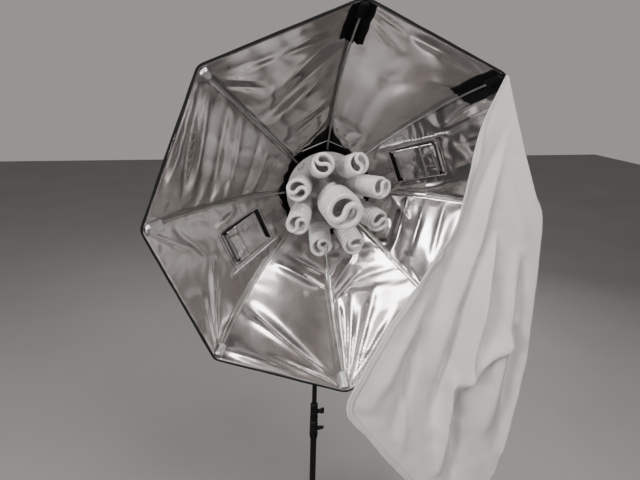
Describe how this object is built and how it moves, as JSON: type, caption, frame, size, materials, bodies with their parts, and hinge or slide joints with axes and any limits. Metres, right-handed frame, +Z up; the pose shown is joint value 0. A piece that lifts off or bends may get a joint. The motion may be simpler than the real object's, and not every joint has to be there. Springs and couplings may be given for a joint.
{
  "type": "studio softbox",
  "caption": "Octagonal photo softbox with a bowed silver-lined shell, spiral fluorescent lamps on a plate, a hanging white diffuser and a folding light stand.",
  "frame": {"origin": "on the floor, on the axis of the stand's tubes", "axes": "+Z up, the softbox's open front faces -Y, +X to the right as seen from the front"},
  "size_m": [0.9184, 0.7493, 1.9492],
  "materials": {
    "stand_black": "satin black powder coat over steel tube",
    "collar_plastic": "glass-filled black nylon with a fine matt texture",
    "knob_plastic": "moulded black grip",
    "rubber": "matt black rubber",
    "zinc_steel": "zinc-plated rivets and screws",
    "spigot_steel": "turned and plated steel",
    "adapter_black": "black painted die casting",
    "housing_black": "black painted sheet metal",
    "plate_white": "light grey-white enamel",
    "socket_white": "off-white lamp holder",
    "cap_metal": "threaded screw cap",
    "ballast_white": "white ballast housing",
    "lamp_glass": "phosphor-coated glass tube, translucent white",
    "terminal_plastic": "cream terminal block",
    "wire_sleeve": "heat-resistant wire sleeving",
    "inlet_black": "black moulded inlet",
    "rocker_red": "red rocker",
    "rib_steel": "spring-steel rod with a grey coat",
    "rib_socket_black": "black rod holder",
    "shell_fabric": "silver-coated lining on black nylon",
    "binding_fabric": "black woven binding tape",
    "pocket_fabric": "silver lining pocket",
    "tab_fabric": "black nylon tab",
    "diffuser_fabric": "translucent white diffusion cloth"
  },
  "bodies": {
    "base": {"lower_tube": "stand_black", "lower_collar": "collar_plastic", "bottom_bracket": "collar_plastic", "brace_pivot_pins": "zinc_steel", "tube_plug": "rubber"},
    "lower_lock": {"lower_lock_knob": "knob_plastic"},
    "mid_section": {"mid_tube": "stand_black", "upper_collar": "collar_plastic"},
    "upper_lock": {"upper_lock_knob": "knob_plastic"},
    "top_section": {"top_tube": "stand_black", "spigot": "spigot_steel"},
    "leg_collar": {"leg_collar": "collar_plastic", "leg_pivot_pins": "zinc_steel"},
    "leg_lock": {"leg_lock_knob": "knob_plastic"},
    "adapter": {"stand_adapter": "adapter_black", "tilt_axle": "zinc_steel"},
    "spigot_clamp": {"spigot_clamp_knob": "knob_plastic"},
    "umbrella_clamp": {"umbrella_screw": "knob_plastic"},
    "tilt_clamp": {"tilt_lever": "knob_plastic"},
    "head": {"tilt_fork": "adapter_black", "housing_screws": "zinc_steel", "housing_drum": "housing_black", "rear_cover": "housing_black", "speed_ring": "housing_black", "lamp_plate": "plate_white", "plate_rivets": "zinc_steel", "lamp_sockets": "socket_white", "lamp_caps": "cap_metal", "centre_lamp_base": "ballast_white", "outer_lamp_bases": "ballast_white", "centre_lamp_tube": "lamp_glass", "outer_lamp_tubes": "lamp_glass", "terminal_block": "terminal_plastic", "wiring_loom": "wire_sleeve", "power_inlet": "inlet_black", "switch_housings": "inlet_black", "ribs": "rib_steel", "rib_sockets": "rib_socket_black", "fabric_shell": "shell_fabric", "rear_skirt": "binding_fabric", "rim_binding": "binding_fabric", "corner_pockets": "pocket_fabric", "corner_tabs": "tab_fabric", "diffuser": "diffuser_fabric"},
    "window_flap_left": {"window_flap_left": "shell_fabric"},
    "window_flap_right": {"window_flap_right": "shell_fabric"},
    "leg_1": {"leg_1": "stand_black", "foot_1": "rubber"},
    "brace_1": {"brace_1": "stand_black"},
    "rocker_1": {"rocker_1": "rocker_red"},
    "leg_2": {"leg_2": "stand_black", "foot_2": "rubber"},
    "brace_2": {"brace_2": "stand_black"},
    "rocker_2": {"rocker_2": "rocker_red"},
    "leg_3": {"leg_3": "stand_black", "foot_3": "rubber"},
    "brace_3": {"brace_3": "stand_black"},
    "rocker_3": {"rocker_3": "rocker_red"}
  },
  "joints": [
    {"name": "mid_section_slide", "type": "slide", "parent": "base", "child": "mid_section", "axis": [0, 0, 1], "range_m": [0, 0.42]},
    {"name": "top_section_slide", "type": "slide", "parent": "mid_section", "child": "top_section", "axis": [0, 0, 1], "range_m": [-0.45, 0], "stiffness_N_per_m": 200, "springref_m": 0.6},
    {"name": "leg_collar_slide", "type": "slide", "parent": "base", "child": "leg_collar", "axis": [0, 0, 1], "range_m": [0, 0.2446]},
    {"name": "leg_1_fold", "type": "hinge", "parent": "leg_collar", "child": "leg_1", "pos_m": [0, -0.036, 0.29], "axis": [1, 0, 0], "range_deg": [0, 54.66]},
    {"name": "brace_1_fold", "type": "hinge", "parent": "base", "child": "brace_1", "pos_m": [0, -0.019, 0.09], "axis": [-1, 0, 0], "range_deg": [0, 67.38]},
    {"name": "leg_2_fold", "type": "hinge", "parent": "leg_collar", "child": "leg_2", "pos_m": [0.03118, 0.018, 0.29], "axis": [-0.5, 0.866, 0], "range_deg": [0, 54.66]},
    {"name": "brace_2_fold", "type": "hinge", "parent": "base", "child": "brace_2", "pos_m": [0.01645, 0.0095, 0.09], "axis": [0.5, -0.866, 0], "range_deg": [0, 67.38]},
    {"name": "leg_3_fold", "type": "hinge", "parent": "leg_collar", "child": "leg_3", "pos_m": [-0.03118, 0.018, 0.29], "axis": [-0.5, -0.866, 0], "range_deg": [0, 54.66]},
    {"name": "brace_3_fold", "type": "hinge", "parent": "base", "child": "brace_3", "pos_m": [-0.01645, 0.0095, 0.09], "axis": [0.5, 0.866, 0], "range_deg": [0, 67.38]},
    {"name": "lower_lock_turn", "type": "hinge", "parent": "base", "child": "lower_lock", "pos_m": [0.019, 0, 0.5965], "axis": [1, 0, 0], "range_deg": [0, 360]},
    {"name": "upper_lock_turn", "type": "hinge", "parent": "mid_section", "child": "upper_lock", "pos_m": [0.019, 0, 0.67], "axis": [1, 0, 0], "range_deg": [0, 360]},
    {"name": "leg_lock_turn", "type": "hinge", "parent": "leg_collar", "child": "leg_lock", "pos_m": [0.02079, -0.012, 0.29], "axis": [0.866, -0.5, 0], "range_deg": [0, 360]},
    {"name": "pan", "type": "hinge", "parent": "top_section", "child": "adapter", "pos_m": [0, 0, 1.3], "axis": [0, 0, 1], "continuous": true},
    {"name": "spigot_clamp_turn", "type": "hinge", "parent": "adapter", "child": "spigot_clamp", "pos_m": [0, 0.021, 1.294], "axis": [0, 1, 0], "range_deg": [0, 360]},
    {"name": "umbrella_screw_turn", "type": "hinge", "parent": "adapter", "child": "umbrella_clamp", "pos_m": [-0.017, 0, 1.337], "axis": [-1, 0, 0], "range_deg": [0, 360]},
    {"name": "tilt_lever_turn", "type": "hinge", "parent": "adapter", "child": "tilt_clamp", "pos_m": [0, 0, 1.365], "axis": [1, 0, 0], "range_deg": [0, 45]},
    {"name": "head_tilt", "type": "hinge", "parent": "adapter", "child": "head", "pos_m": [0, 0, 1.365], "axis": [1, 0, 0], "range_deg": [-75, 25], "stiffness_Nm_per_rad": 40, "springref_deg": -19.31},
    {"name": "rocker_1_press", "type": "hinge", "parent": "head", "child": "rocker_1", "pos_m": [-0.032, -0.02, 1.51], "axis": [0, 0, -1], "range_deg": [0, 12]},
    {"name": "rocker_2_press", "type": "hinge", "parent": "head", "child": "rocker_2", "pos_m": [0, -0.02, 1.51], "axis": [0, 0, -1], "range_deg": [0, 12]},
    {"name": "rocker_3_press", "type": "hinge", "parent": "head", "child": "rocker_3", "pos_m": [0.032, -0.02, 1.51], "axis": [0, 0, -1], "range_deg": [0, 12]},
    {"name": "window_flap_right_swing", "type": "hinge", "parent": "head", "child": "window_flap_right", "pos_m": [0.20823, -0.17461, 1.6228], "axis": [-0.6988, 0.6541, -0.2895], "range_deg": [0, 90], "stiffness_Nm_per_rad": 0.005, "springref_deg": -57.3},
    {"name": "window_flap_left_swing", "type": "hinge", "parent": "head", "child": "window_flap_left", "pos_m": [-0.20823, -0.17461, 1.3572], "axis": [0.6988, 0.6541, 0.2895], "range_deg": [0, 90], "stiffness_Nm_per_rad": 0.005, "springref_deg": -57.3}
  ],
  "couplings": [
    {"joint": "leg_1_fold", "follows": "leg_collar_slide", "rad_per_m": 3.8988},
    {"joint": "brace_1_fold", "follows": "leg_collar_slide", "rad_per_m": 4.8065},
    {"joint": "leg_2_fold", "follows": "leg_collar_slide", "rad_per_m": 3.8988},
    {"joint": "brace_2_fold", "follows": "leg_collar_slide", "rad_per_m": 4.8065},
    {"joint": "leg_3_fold", "follows": "leg_collar_slide", "rad_per_m": 3.8988},
    {"joint": "brace_3_fold", "follows": "leg_collar_slide", "rad_per_m": 4.8065}
  ]
}
